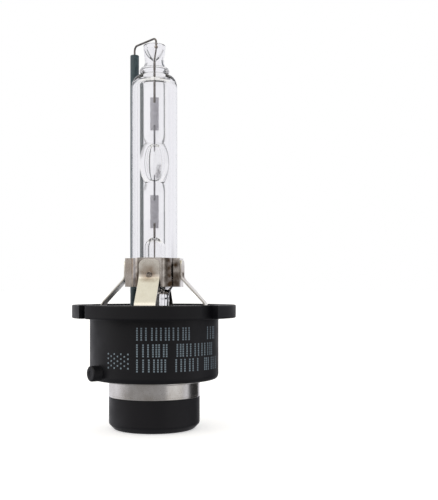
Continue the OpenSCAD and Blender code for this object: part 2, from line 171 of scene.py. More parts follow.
def select(obj: Object) -> None:
    """Makes an object the only selected one, and the active one."""
    clear_selection()
    obj.select_set(True)
    bpy.context.view_layer.objects.active = obj


def start_vertex(name: str, place: Vector) -> Object:
    """Adds a mesh of one vertex, left in edit mode with the vertex selected.

    Args:
        name: The new piece's name.
        place: Where the vertex stands, in metres.

    Returns:
        The new object.
    """
    clear_selection()
    bpy.ops.mesh.primitive_plane_add(size=MM, location=(0, 0, 0))
    obj = bpy.context.object
    obj.name = obj.data.name = name
    edit_mesh()
    select_mesh()
    bpy.ops.mesh.merge(type="CENTER")
    select_mesh()
    bpy.ops.transform.translate(value=place)
    return obj


def extrude_along(path: Sequence[Vector]) -> None:
    """Extrudes the selected vertex or edge from the path's first place through the others."""
    for before, after in zip(path, path[1:]):
        bpy.ops.mesh.extrude_region_move(TRANSFORM_OT_translate={"value": after - before})


def close_up(flip: bool = False) -> None:
    """Merges doubles and turns the faces outwards, in edit mode, then leaves it.

    Args:
        flip: Whether the faces then turn inwards, as round a void.
    """
    select_mesh()
    bpy.ops.mesh.remove_doubles(threshold=MERGE_DISTANCE)
    select_mesh()
    bpy.ops.mesh.normals_make_consistent(inside=False)
    if flip:
        bpy.ops.mesh.flip_normals()
    leave_mesh()


def turn(
    name: str,
    section: Sequence[Point],
    closed: bool = False,
    void: bool = False,
    steps: int = TURN_STEPS,
) -> Object:
    """Draws a section and spins it round the Z axis.

    Args:
        name: The new piece's name.
        section: Radius and height of each point of the section, in millimetres.
        closed: Whether the section's end joins its start.
        void: Whether the faces point inwards, as round a hollow in another solid.
        steps: Segments round the axis.

    Returns:
        The turned object, with smooth faces.
    """
    path = [Vector((r, 0, z)) * MM for r, z in section]
    if closed:
        path.append(path[0])
    obj = start_vertex(name, path[0])
    extrude_along(path)
    select_mesh()
    bpy.ops.mesh.spin(steps=steps, angle=FULL_TURN, center=(0, 0, 0), axis=Z_AXIS)
    close_up(flip=void)
    return smooth(obj)


def smooth(obj: Object, angle: float = SMOOTH_ANGLE) -> Object:
    """Shades an object smooth, but for its sharp edges, and returns it."""
    select(obj)
    bpy.ops.object.shade_smooth_by_angle(angle=angle)
    return obj


def apply_modifier(obj: Object, kind: str, **settings: object) -> Object:
    """Adds a modifier, sets it up and applies it.

    Args:
        obj: The object that the modifier shapes.
        kind: The modifier's type, such as BEVEL.
        **settings: The modifier's own properties.

    Returns:
        The same object.
    """
    select(obj)
    modifier = obj.modifiers.new(kind.title(), kind)
    for key, value in settings.items():
        setattr(modifier, key, value)
    bpy.ops.object.modifier_apply(modifier=modifier.name)
    return obj


def soften(obj: Object, width: float, segments: int = 2, angle: float = 50) -> Object:
    """Bevels the edges that are sharper than an angle in degrees, by a width in millimetres."""
    apply_modifier(
        obj, "BEVEL", width=width * MM, segments=segments, limit_method="ANGLE",
        angle_limit=math.radians(angle), harden_normals=False, use_clamp_overlap=True,
    )
    return apply_modifier(smooth(obj), "WEIGHTED_NORMAL", keep_sharp=True)


class Boolean(Enum):
    """What a boolean does with its tool."""

    ADD = "UNION"
    CUT = "DIFFERENCE"


def combine(obj: Object, other: Object, how: Boolean) -> Object:
    """Applies a boolean with another object, which is used up.

    Args:
        obj: The object that stays.
        other: The tool.
        how: Whether the tool is added or cut away.

    Returns:
        The object that stays.
    """
    apply_modifier(obj, "BOOLEAN", object=other, operation=how.value, solver="EXACT")
    bpy.data.objects.remove(other)
    return obj


def merge_objects(obj: Object, others: Sequence[Object]) -> Object:
    """Joins other objects into one, as loose shells."""
    select(obj)
    for other in others:
        other.select_set(True)
    bpy.ops.object.join()
    return obj


def placed(obj: Object, matrix: Matrix) -> Object:
    """Moves an object's mesh by a matrix, with the object itself left at the origin."""
    obj.data.transform(matrix)
    obj.data.update()
    return obj


def moved_out(obj: Object, azimuth: float, radius: float) -> Object:
    """Moves an object's mesh outwards at an azimuth, by a radius in millimetres."""
    return placed(obj, Matrix.Translation(azimuth_vector(azimuth, radius * MM)))


def box(name: str, size: Sequence[float], centre: Sequence[float], azimuth: float) -> Object:
    """Adds a block, sized and centred in millimetres in front of the axis, turned to an azimuth."""
    clear_selection()
    bpy.ops.mesh.primitive_cube_add(size=1, location=(0, 0, 0))
    obj = bpy.context.object
    obj.name = name
    sized = Matrix.Diagonal((*(Vector(size) * MM), 1))
    placed(obj, Matrix.Translation(Vector(centre) * MM) @ sized)
    return placed(obj, turned_to(azimuth))


def plug(name: str, r: float, low: float, high: float, steps: int) -> Object:
    """Turns a plain round block of a radius between two heights, in millimetres."""
    return turn(name, [(0, low), (r, low), (r, high), (0, high)], steps=steps)


def scattered(name: str, first: Object, places: Iterable[Matrix]) -> Object:
    """Repeats a small piece at many places and joins the copies.

    Args:
        name: The new piece's name.
        first: The piece that is repeated, which is used up.
        places: The matrix that takes it to each place.

    Returns:
        The joined copies.
    """
    copies: list[Object] = []
    for place in places:
        copy = first.copy()
        copy.data = first.data.copy()
        bpy.context.scene.collection.objects.link(copy)
        copies.append(placed(copy, place))
    bpy.data.objects.remove(first)
    obj = merge_objects(copies[0], copies[1:])
    obj.name = name
    return obj


def strip(
    name: str,
    path: Sequence[Vector],
    across: Vector,
    thickness: float,
    edge: float,
    corner: float = 0.0,
) -> Object:
    """Bends a strip of sheet metal along a path.

    Args:
        name: The new piece's name.
        path: Places along the middle of the strip's inner face, in millimetres.
        across: The strip's whole width, as a vector in millimetres.
        thickness: The sheet's thickness in millimetres, to the side that path x across points to.
        edge: Width of the softened edges.
        corner: Radius of the two corners at the path's start.

    Returns:
        The bent strip, with softened edges.
    """
    places = [p * MM for p in path]
    ends = [places[0] - across * MM / 2, places[0] + across * MM / 2]
    obj = start_vertex(name, ends[0])
    extrude_along(ends)
    select_mesh()
    extrude_along(places)
    if corner:
        leave_mesh()
        for v in obj.data.vertices:
            v.select = min((v.co - e).length for e in ends) < MERGE_DISTANCE
        edit_mesh()
        bpy.ops.mesh.bevel(offset=corner * MM, segments=CORNER_STEPS, affect="VERTICES")
    select_mesh()
    bpy.ops.mesh.remove_doubles(threshold=MERGE_DISTANCE)
    leave_mesh()
    direction = (places[1] - places[0]).cross(across)
    side = 1.0 if obj.data.polygons[0].normal.dot(direction) > 0 else -1.0
    apply_modifier(obj, "SOLIDIFY", thickness=thickness * MM, offset=side, use_even_offset=True)
    select(obj)
    edit_mesh()
    close_up()
    return soften(obj, edge, segments=2, angle=60)


# ---------------------------------------------------------------- shader helpers


class Tree:
    """A node tree that is filled by name."""

    def __init__(self, tree: NodeTree) -> None:
        """Wraps a node tree."""
        self.tree = tree

    def feed(self, node: Node, inputs: dict[str | int, object]) -> Node:
        """Gives a node's sockets, by name or number, their values or the sockets that feed them."""
        for key, value in inputs.items():
            if isinstance(value, NodeSocket):
                self.tree.links.new(value, node.inputs[key])
            else:
                node.inputs[key].default_value = value
        return node

    def add(
        self, kind: str, inputs: dict[str | int, object] | None = None, **settings: object
    ) -> Node:
        """Adds a node.

        Args:
            kind: The node's type, without its prefix.
            inputs: What its sockets are given.
            **settings: The node's own properties.

        Returns:
            The node.
        """
        node = self.tree.nodes.new(kind if kind.startswith("Node") else "ShaderNode" + kind)
        for key, value in settings.items():
            setattr(node, key, value)
        return self.feed(node, inputs or {})

    def ramp(self, value: NodeSocket, low: float, high: float) -> NodeSocket:
        """Spreads a value's stretch from low to high over 0 to 1."""
        node = self.add("MapRange", {"Value": value, "From Min": low, "From Max": high}, clamp=True)
        return node.outputs["Result"]

    def ease(self, value: NodeSocket, low: float, high: float) -> NodeSocket:
        """Does what ramp does, softly at both ends."""
        sides = {"Value": value, "From Min": low, "From Max": high}
        return self.add("MapRange", sides, interpolation_type="SMOOTHSTEP").outputs["Result"]

    def within(self, value: NodeSocket, sides: Point) -> NodeSocket:
        """Spreads a value from 0 to 1 between two others."""
        node = self.add("MapRange", {"Value": value, "To Min": sides[0], "To Max": sides[1]})
        return node.outputs["Result"]

    def noise(self, place: NodeSocket, scale: object, detail: float) -> NodeSocket:
        """Returns a noise pattern."""
        inputs = {"Vector": place, "Scale": scale, "Detail": detail}
        return self.add("TexNoise", inputs).outputs["Fac"]

    def bump(self, strength: float, distance: float, height: NodeSocket) -> NodeSocket:
        """Returns the normal of a surface roughened by a height."""
        inputs = {"Strength": strength, "Distance": distance, "Height": height}
        return self.add("Bump", inputs).outputs[0]

    def math(self, how: str, a: object, b: object = 0.0) -> NodeSocket:
        """Returns the result of a Math node."""
        return self.add("Math", {0: a, 1: b}, operation=how).outputs[0]

    def mix(self, factor: object, a: object, b: object) -> NodeSocket:
        """Mixes two colours."""
        a, b = ((*c, 1.0) if isinstance(c, tuple) else c for c in (a, b))
        return self.add("Mix", {0: factor, 6: a, 7: b}, data_type="RGBA").outputs[2]


def new_group(
    name: str, inputs: dict[str, float], outputs: Sequence[str]
) -> tuple[Tree, Node, Node]:
    """Starts a shader node group.

    Args:
        name: The group's name.
        inputs: Name and default of each number that goes in, beside the vector.
        outputs: The names of the numbers that come out.

    Returns:
        The group's tree, and its input and output nodes.
    """
    group = bpy.data.node_groups.new(name, "ShaderNodeTree")
    group.interface.new_socket("Vector", in_out="INPUT", socket_type=VECTOR)
    for key, default in inputs.items():
        socket = group.interface.new_socket(key, in_out="INPUT", socket_type=FLOAT)
        socket.default_value = default
    for key in outputs:
        group.interface.new_socket(key, in_out="OUTPUT", socket_type=FLOAT)
    tree = Tree(group)
    return tree, tree.add("NodeGroupInput"), tree.add("NodeGroupOutput")


def moulded_grain() -> NodeTree:
    """Builds the group for a moulded surface: a fine grain and broad clouds."""
    tree, given, result = new_group(
        "moulded_grain", {"Grain": 9000.0, "Clouds": 260.0}, ("Height", "Cloud", "Fleck")
    )
    vector, grain, clouds = (given.outputs[key] for key in ("Vector", "Grain", "Clouds"))
    flecks = tree.add("TexVoronoi", {"Vector": vector, "Scale": tree.math("MULTIPLY", grain, 0.35)})
    tree.feed(result, {
        "Height": tree.noise(vector, grain, 3.0),
        "Cloud": tree.ramp(tree.noise(vector, clouds, 5.0), 0.35, 0.68),
        "Fleck": tree.ramp(flecks.outputs["Distance"], 0.12, 0.05),
    })
    return tree.tree


def drawn_metal() -> NodeTree:
    """Builds the group for drawn or rolled metal: fine lines, and stains."""
    tree, given, result = new_group("drawn_metal", {"Stains": 500.0}, ("Lines", "Stain", "Speck"))
    tree.tree.interface.new_socket("Stretch", in_out="INPUT", socket_type=VECTOR)
    vector, stretch, stains = (given.outputs[key] for key in ("Vector", "Stretch", "Stains"))
    stretched = tree.add("VectorMath", {0: vector, 1: stretch}, operation="MULTIPLY").outputs[0]
    drawn = {"Vector": stretched, "Scale": 1.0, "Detail": 4.0, "Roughness": 0.65}
    lines = tree.add("TexNoise", drawn)
    tree.feed(result, {
        "Lines": lines.outputs["Fac"],
        "Stain": tree.ramp(tree.noise(vector, stains, 6.0), 0.42, 0.66),
        "Speck": tree.ramp(tree.noise(vector, 5200.0, 2.0), 0.6, 0.72),
    })
    return tree.tree


GROUPS: dict[str, Callable[[], NodeTree]] = {
    "moulded_grain": moulded_grain,
    "drawn_metal": drawn_metal,
}


def group_node(tree: Tree, name: str, inputs: dict[str, object]) -> Node:
    """Places a shared group in a material, and builds it the first time.

    Args:
        tree: The material's tree.
        name: The group's name.
        inputs: What its sockets are given.

    Returns:
        The node that stands for the group.
    """
    return tree.add("Group", inputs, node_tree=bpy.data.node_groups.get(name) or GROUPS[name]())


def new_material(name: str) -> tuple[Material, Tree, Node, NodeSocket]:
    """Starts a material with a Principled shader.

    Returns:
        The material, its tree, the shader, and the Object coordinates.
    """
    material = bpy.data.materials.new(name)
    material.use_nodes = True
    material.node_tree.nodes.clear()
    tree = Tree(material.node_tree)
    shader = tree.add("BsdfPrincipled")
    tree.add("OutputMaterial", {"Surface": shader.outputs[0]})
    return material, tree, shader, tree.add("TexCoord").outputs["Object"]


class Drawing(Enum):
    """Which way the fine lines of a metal run."""

    ROUND = (500.0, 500.0, 22000.0)
    ALONG = (16000.0, 16000.0, 500.0)
    EVEN = (5000.0, 5000.0, 5000.0)


@dataclass(frozen=True)
class Plastic:
    """A moulded plastic finish."""

    name: str
    color: Color
    pale: Color
    roughness: tuple[float, float] = (0.4, 0.55)
    bump: float = 0.12
    gloss: float = 0.3

    def build(self) -> Material:
        """Makes the material."""
        material, tree, shader, place = new_material(self.name)
        grain = group_node(tree, "moulded_grain", {"Vector": place})
        cloud = grain.outputs["Cloud"]
        pale = tree.mix(grain.outputs["Fleck"], self.color, self.pale)
        tree.feed(shader, {
            "Base Color": tree.mix(tree.math("MULTIPLY", cloud, 0.55), self.color, pale),
            "Roughness": tree.within(cloud, self.roughness),
            "Normal": tree.bump(self.bump, 0.00004, grain.outputs["Height"]),
            "IOR": 1.5, "Specular IOR Level": self.gloss,
        })
        return material


@dataclass(frozen=True)
class Metal:
    """A drawn, rolled or turned metal finish."""

    name: str
    color: Color
    stain: Color
    drawing: Drawing = Drawing.ALONG
    roughness: tuple[float, float] = (0.18, 0.34)
    bump: float = 0.08
    stain_amount: float = 0.4
    stain_scale: float = 500.0
    metallic: float = 1.0
    heat_tint_and_reflection_color: Color = (0.2, 0.11, 0.045)
    heat_tint_and_reflection_spots: tuple[tuple[float, float, float, float], ...] = ()

    def with_heat_tint_and_painted_reflection(self, tree: Tree, place: NodeSocket, color: NodeSocket) -> NodeSocket:
        """Browns a colour round given places: heat tint round the legs' welds, and painted dark
        reflections, in part heat tint, on the clamp band's front.

        Args:
            tree: The material's tree.
            place: The Object coordinates.
            color: The metal's colour.

        Returns:
            The browned colour.
        """
        ragged = tree.noise(place, 900.0, 4.0)
        for x, y, z, r in self.heat_tint_and_reflection_spots:
            ends = {0: place, 1: (x * MM, y * MM, z * MM)}
            away = tree.add("VectorMath", ends, operation="DISTANCE").outputs["Value"]
            spread = tree.math("ADD", away, tree.math("MULTIPLY", ragged, 0.8 * r * MM))
            # Heat tint round the legs' welds; on the clamp band these dark brown patches are
            # painted reflections of the dark room, in part heat tint.
            color = tree.mix(tree.ramp(spread, 1.3 * r * MM, 0.5 * r * MM), color, self.heat_tint_and_reflection_color)
        return color

    def build(self) -> Material:
        """Makes the material."""
        material, tree, shader, place = new_material(self.name)
        metal = group_node(tree, "drawn_metal", {
            "Vector": place, "Stretch": self.drawing.value, "Stains": self.stain_scale,
        })
        lines = metal.outputs["Lines"]
        color: Color | NodeSocket = self.color
        for mask in ("Stain", "Speck"):
            amount = tree.math("MULTIPLY", metal.outputs[mask], self.stain_amount)
            color = tree.mix(amount, color, self.stain)
        tree.feed(shader, {
            "Base Color": self.with_heat_tint_and_painted_reflection(tree, place, color), "Metallic": self.metallic,
            "Roughness": tree.within(lines, self.roughness),
            "Normal": tree.bump(self.bump, 0.00003, lines),
        })
        return material


@dataclass(frozen=True)
class Glass:
    """A clear glass finish."""

    name: str
    color: Color = (1.0, 1.0, 1.0)
    ior: float = 1.46
    ripple: float = 0.03

    def build(self) -> Material:
        """Makes the material."""
        material, tree, shader, place = new_material(self.name)
        tree.feed(shader, {
            "Base Color": (*self.color, 1.0), "Roughness": 0.0, "IOR": self.ior,
            "Transmission Weight": 1.0,
            "Normal": tree.bump(self.ripple, 0.0002, tree.noise(place, 180.0, 1.0)),
        })
        return material


@dataclass(frozen=True)
class Fused:
    """The finish of a joint where two glasses have run into one, which can't be seen."""

    name: str

    def build(self) -> Material:
        """Makes the material."""
        material, tree, shader, _ = new_material(self.name)
        tree.feed(shader, {"Base Color": (1.0, 1.0, 1.0, 1.0), "Alpha": 0.0})
        return material


@dataclass(frozen=True)
class Ceramic:
    """A fired ceramic finish."""

    name: str
    color: Color
    pale: Color
    grain: float = 6500.0
    clouds: float = 420.0
    roughness: tuple[float, float] = (0.34, 0.52)

    def build(self) -> Material:
        """Makes the material."""
        material, tree, shader, place = new_material(self.name)
        scales = {"Grain": self.grain, "Clouds": self.clouds}
        grain = group_node(tree, "moulded_grain", {"Vector": place, **scales})
        cloud = grain.outputs["Cloud"]
        tree.feed(shader, {
            "Base Color": tree.mix(tree.math("MULTIPLY", cloud, 0.7), self.color, self.pale),
            "Roughness": tree.within(cloud, self.roughness),
            "Normal": tree.bump(0.16, 0.00005, grain.outputs["Height"]), "IOR": 1.6,
        })
        return material


@dataclass(frozen=True)
class Powder:
    """A dull finish for crystals and ink."""

    name: str
    color: Color
    dark: Color
    scale: float = 3000.0
    roughness: float = 0.6

    def build(self) -> Material:
        """Makes the material."""
        material, tree, shader, place = new_material(self.name)
        noise = tree.noise(place, self.scale, 4.0)
        tree.feed(shader, {
            "Base Color": tree.mix(tree.ramp(noise, 0.35, 0.65), self.color, self.dark),
            "Roughness": self.roughness, "Normal": tree.bump(0.3, 0.00003, noise),
        })
        return material


Finish = Plastic | Metal | Glass | Fused | Ceramic | Powder


@dataclass
class Workshop:
    """What the sub-assemblies share: the frame's nodes and the finishes already made."""

    nodes: dict[str, Object]
    made: dict[str, Material] = field(default_factory=dict)

    def finish_of(self, finish: Finish) -> Material:
        """Returns a finish's material, made the first time it is asked for."""
        if finish.name not in self.made:
            self.made[finish.name] = finish.build()
        return self.made[finish.name]

    def keep(self, node: str, finish: Finish) -> None:
        """Gives a CAD node a finish."""
        mesh = self.nodes[node].data
        mesh.materials.clear()
        mesh.materials.append(self.finish_of(finish))
        log.info("%s keeps its CAD shape, in %s", node, finish.name)

    def hand_over(self, piece: Object, finish: Finish, slot: str, *replaced: str) -> Object:
        """Dresses a new piece, fixes it to the body and says what it stands for.

        Args:
            piece: The finished piece.
            finish: What it is dressed in.
            slot: Not used.
            *replaced: The CAD nodes that it stands for.

        Returns:
            The piece.
        """
        piece.data.materials.clear()
        piece.data.materials.append(self.finish_of(finish))
        for polygon in piece.data.polygons:
            polygon.material_index = 0
        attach(piece, BODY)
        if replaced:
            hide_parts(*replaced)
        faces = len(piece.data.polygons)
        log.info("%s: %d faces, stands for %s", piece.name, faces, replaced or "detail")
        return piece

    def top(self, node: str) -> float:
        """Returns a CAD node's highest point, in millimetres."""
        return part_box(node)[1].z / MM

    def bottom(self, node: str) -> float:
        """Returns a CAD node's lowest point, in millimetres."""
        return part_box(node)[0].z / MM

    def span(self, node: str) -> Point:
        """Returns a CAD node's lowest and highest point, in millimetres."""
        return self.bottom(node), self.top(node)


BASE_PLASTIC = Plastic("base_plastic", (0.0055, 0.0055, 0.0075), (0.022, 0.02, 0.025))
NOSE_PLASTIC = Plastic("nose_plastic", (0.0085, 0.008, 0.0105), (0.028, 0.026, 0.031))
LEG_AZIMUTHS = (6.0, 96.0, 186.0, 276.0)
LEG_STEEL = Metal(
    "leg_steel", (0.82, 0.79, 0.72), (0.6, 0.55, 0.47), Drawing.ALONG, (0.2, 0.36), 0.1, 0.25,
    heat_tint_and_reflection_color=(0.33, 0.24, 0.17),
    heat_tint_and_reflection_spots=tuple((*azimuth_vector(azimuth, 5.5).xy, 5.9, 2.6) for azimuth in LEG_AZIMUTHS),
)
# The band's dark brown patches listed here are painted dark reflections of the room, in part heat
# tint.
CLAMP_STEEL = Metal(
    "clamp_steel", (0.74, 0.7, 0.66), (0.4, 0.32, 0.24), Drawing.ROUND, (0.1, 0.24), 0.12, 0.5,
    340.0, heat_tint_and_reflection_color=(0.065, 0.04, 0.022), heat_tint_and_reflection_spots=(
        (3.0, -3.6, 8.4, 1.5), (2.9, -3.6, 6.9, 1.7), (3.1, -3.5, 5.4, 1.9), (3.2, -3.4, 3.9, 2.1),
        (4.2, -2.5, 7.6, 1.4), (4.3, -2.4, 5.8, 1.7), (4.3, -2.4, 4.0, 1.8), (-2.7, -4.4, 7.8, 1.9),
        (-2.8, -4.3, 5.8, 2.4), (-3.0, -4.0, 3.8, 2.9), (-2.7, -4.8, 5.3, 1.9),
        (-2.8, -4.4, 3.9, 2.6), (-2.6, 3.9, 6.0, 1.9),
    ),
)
WELD_METAL = Metal(
    "weld_metal", (0.42, 0.37, 0.33), (0.1, 0.07, 0.05), Drawing.EVEN, (0.25, 0.5), 0.5, 0.8, 1500.0
)
RING_METAL = Metal(
    "ring_metal", (0.74, 0.72, 0.7), (0.4, 0.36, 0.31), Drawing.ROUND, (0.1, 0.26), 0.1, 0.5, 260.0
)
PIN_METAL = Metal(
    "pin_metal", (0.74, 0.73, 0.72), (0.45, 0.42, 0.38), Drawing.ROUND, (0.2, 0.36), 0.12, 0.3,
    900.0,
)
WIRE_METAL = Metal(
    "lead_wire", (0.22, 0.2, 0.19), (0.08, 0.065, 0.055), Drawing.ALONG, (0.3, 0.5), 0.2, 0.6,
    1200.0,
)
TUNGSTEN = Metal(
    "tungsten", (0.26, 0.26, 0.28), (0.12, 0.11, 0.12), Drawing.ALONG, (0.3, 0.5), 0.2, 0.5, 2000.0
)
FOIL_METAL = Metal(
    "foil_metal", (0.84, 0.83, 0.9), (0.6, 0.58, 0.64), Drawing.ALONG, (0.5, 0.68), 0.2, 0.4,
    1600.0, metallic=0.4,
)
SLEEVE_GLASS = Glass("sleeve_glass")
BURNER_QUARTZ = Glass("burner_quartz")
TUBE_CERAMIC = Ceramic("tube_ceramic", (0.03, 0.062, 0.075), (0.065, 0.11, 0.125))
SALTS = Powder("salts", (0.7, 0.68, 0.72), (0.4, 0.38, 0.42), 6000.0)
PRINT_INK = Powder("print_ink", (0.34, 0.43, 0.49), (0.17, 0.22, 0.26), 9000.0, 0.5)
FUSED_SEAM = Fused("fused_seam")


# ---------------------------------------------------------------- sub-assemblies


@dataclass
class Base:
    """The moulded base: flange, barrel, side pegs and printed marks."""

    shop: Workshop
    flange_r: float = 15.65
    flange_t: float = 2.5
    seat_r: float = 12.3
    seat_h: float = 0.3
    barrel_r: float = 12.3
    well_r: float = 3.5
    well_z: float = -6.5
    spigot_r: float = 7.4
    spigot_h: float = 2.2
    bore_r: float = 0.35
    edge_r: float = 1.1
    peg_r: float = 1.45
    peg_reach: float = 1.75
    peg_lift: float = 1.7
    peg_azimuth: float = 52.0
    keyhole: tuple[float, float, float, float] = (53.0, 14.165, 2.7, 2.2)
    notch: tuple[float, float, float] = (-44.0, 13.75, 4.0)
    return_azimuth: float = 144.0
    tube_place: tuple[float, float] = (7.5, 0.93)
    tube_depth: float = 9.0
    pocket: tuple[float, float, float] = (6.1, 8.75, 11.8)
    pocket_h: float = 2.8
    mark_azimuths: tuple[float, ...] = (20.0, 104.0, 195.0, 255.0)
    mark_rings: tuple[float, float] = (13.95, 8.4)
    mark_r: float = 0.85
    mark_dent: float = 0.07
    softening: float = 0.07

    def turned_body(self) -> Object:
        """Turns the flange and the barrel, with the well and the nose's seat."""
        under = self.shop.bottom("base_body")
        return turn("base", rounded([
            (self.bore_r, self.well_z, 0), (self.well_r, self.well_z, 0.4),
            (self.well_r, -self.seat_h, 0.2),
            (self.seat_r, -self.seat_h, 0.06), (self.seat_r, 0, 0.1),
            (self.flange_r, 0, 0.28), (self.flange_r, -self.flange_t, 0.28),
            (self.barrel_r, -self.flange_t, 0.45), (self.barrel_r, under, self.edge_r),
            (self.spigot_r, under, 0.15), (self.spigot_r, under + self.spigot_h, 0),
            (self.bore_r, under + self.spigot_h, 0),
        ], closed=True), closed=True)

    def peg(self, azimuth: float) -> Object:
        """Turns a side peg and lays it out from the barrel at an azimuth."""
        reach = self.barrel_r + self.peg_reach
        obj = turn("peg", rounded([
            (0, self.barrel_r - 2, 0), (self.peg_r, self.barrel_r - 2, 0), (self.peg_r, reach, 0.3),
            (0.6, reach, 0.1), (0.5, reach - 0.12, 0.05), (0, reach - 0.12, 0),
        ]), steps=48)
        height = self.shop.bottom("base_body") + self.peg_lift
        lifted = Matrix.Translation((0, 0, height * MM)) @ turned_to(azimuth)
        return placed(obj, lifted @ LAID_FORWARD)

    def cutters(self) -> list[Object]:
        """Makes the tools that cut the notches, the tube's hole and the tab's pocket."""
        deep = self.flange_t + 1
        middle = (1 - deep) / 2
        azimuth, r, d, mouth = self.keyhole
        tools = [
            moved_out(plug("keyhole", d / 2, -deep, 1, 40), azimuth, r),
            box("mouth", (mouth, d, deep + 1), (0, -r - d / 2, middle), azimuth),
        ]
        azimuth, r, w = self.notch
        tools.append(box("notch", (w, 4, deep + 1), (0, -r - 2, middle), azimuth))
        r, tube_r = self.tube_place
        hole = plug("tube_hole", tube_r, -self.tube_depth, 1, 32)
        tools.append(moved_out(hole, self.return_azimuth, r))
        w, inner, outer = self.pocket
        size = (w, outer - inner, self.pocket_h)
        place = (0, -(inner + outer) / 2, self.shop.bottom("base_body"))
        tools.append(box("pocket", size, place, self.return_azimuth))
        return tools

    def ejector_marks(self) -> list[Object]:
        """Makes shallow discs that dent the underside of the flange and the middle of the top."""
        rim_r, top_r = self.mark_rings
        under, seat = -self.flange_t, -self.seat_h
        rings = (
            (rim_r, under - 0.5, under + self.mark_dent), (top_r, seat - self.mark_dent, 0.2),
        )
        return [
            moved_out(plug("ejector", self.mark_r, low, high, 24), azimuth, r)
            for azimuth in self.mark_azimuths
            for r, low, high in rings
        ]

    def build(self) -> None:
        """Models the base, cuts it and dresses it."""
        body = self.turned_body()
        for azimuth in (self.peg_azimuth, self.peg_azimuth + 180):
            combine(body, self.peg(azimuth), Boolean.ADD)
        for tool in self.cutters() + self.ejector_marks():
            combine(body, tool, Boolean.CUT)
        body.name = "base_moulding"
        self.shop.hand_over(soften(body, self.softening), BASE_PLASTIC, "base_plastic", "base_body")
        PrintedMarks(self.shop, self.barrel_r).build()


@dataclass
class PrintedMarks:
    """Rows of pale dotted bars, and one chequered square of dots, that spell nothing."""

    shop: Workshop
    radius: float
    proud: float = 0.012
    row_tops: tuple[float, ...] = (-3.95, -6.9, -9.6)
    row_h: float = 2.3
    dots_high: int = 6
    bars: tuple[tuple[Point, ...], ...] = (
        ((9.0, -38.0), (-58.0, -74.0)),
        ((9.0, -18.0), (-25.0, -66.0)),
        ((9.0, -16.0), (-24.0, -47.0), (-54.0, -76.0)),
    )
    square: tuple[float, float, float, int] = (37.0, 17.0, -8.6, 7)
    square_rise: float = 1.45
    gaps: tuple[float, float] = (2.3, 5.2)
    dot_w: float = 1.35
    dot_h: float = 0.29
    seed: int = 11

    def dot(self) -> Object:
        """Spins one small dot of ink that lies on the barrel's front."""
        r = (self.radius + self.proud) * MM
        half = math.radians(self.dot_w) / 2
        obj = start_vertex("ink", Vector((-r * math.sin(half), -r * math.cos(half), 0)))
        extrude_along([Vector((0, 0, 0)), Vector((0, 0, self.dot_h * MM))])
        select_mesh()
        bpy.ops.mesh.spin(steps=2, angle=2 * half, center=(0, 0, 0), axis=Z_AXIS)
        leave_mesh()
        if obj.data.polygons[0].normal.y > 0:
            obj.data.flip_normals()
        return obj

    def places(self) -> list[Point]:
        """Returns the azimuth and the height of every dot."""
        dice = random.Random(self.seed)
        rise = (self.row_h - self.dot_h) / (self.dots_high - 1)
        out: list[Point] = []
        for top, spans in zip(self.row_tops, self.bars):
            for start, last in spans:
                azimuth = start
                while azimuth > last:
                    out += [(azimuth, top - self.dot_h - k * rise) for k in range(self.dots_high)]
                    azimuth -= dice.uniform(*self.gaps)
        start, last, top, side = self.square
        for i in range(side):
            azimuth = start + (last - start) * i / (side - 1)
            for k in range(i % 2, side, 2):
                out.append((azimuth, top - self.dot_h * (1 + self.square_rise * k)))
        return out

    def build(self) -> None:
        """Prints the dots."""
        ink = scattered("printed_dots", self.dot(), [
            Matrix.Translation((0, 0, height * MM)) @ turned_to(azimuth)
            for azimuth, height in self.places()
        ])
        self.shop.hand_over(ink, PRINT_INK, "base_plastic")


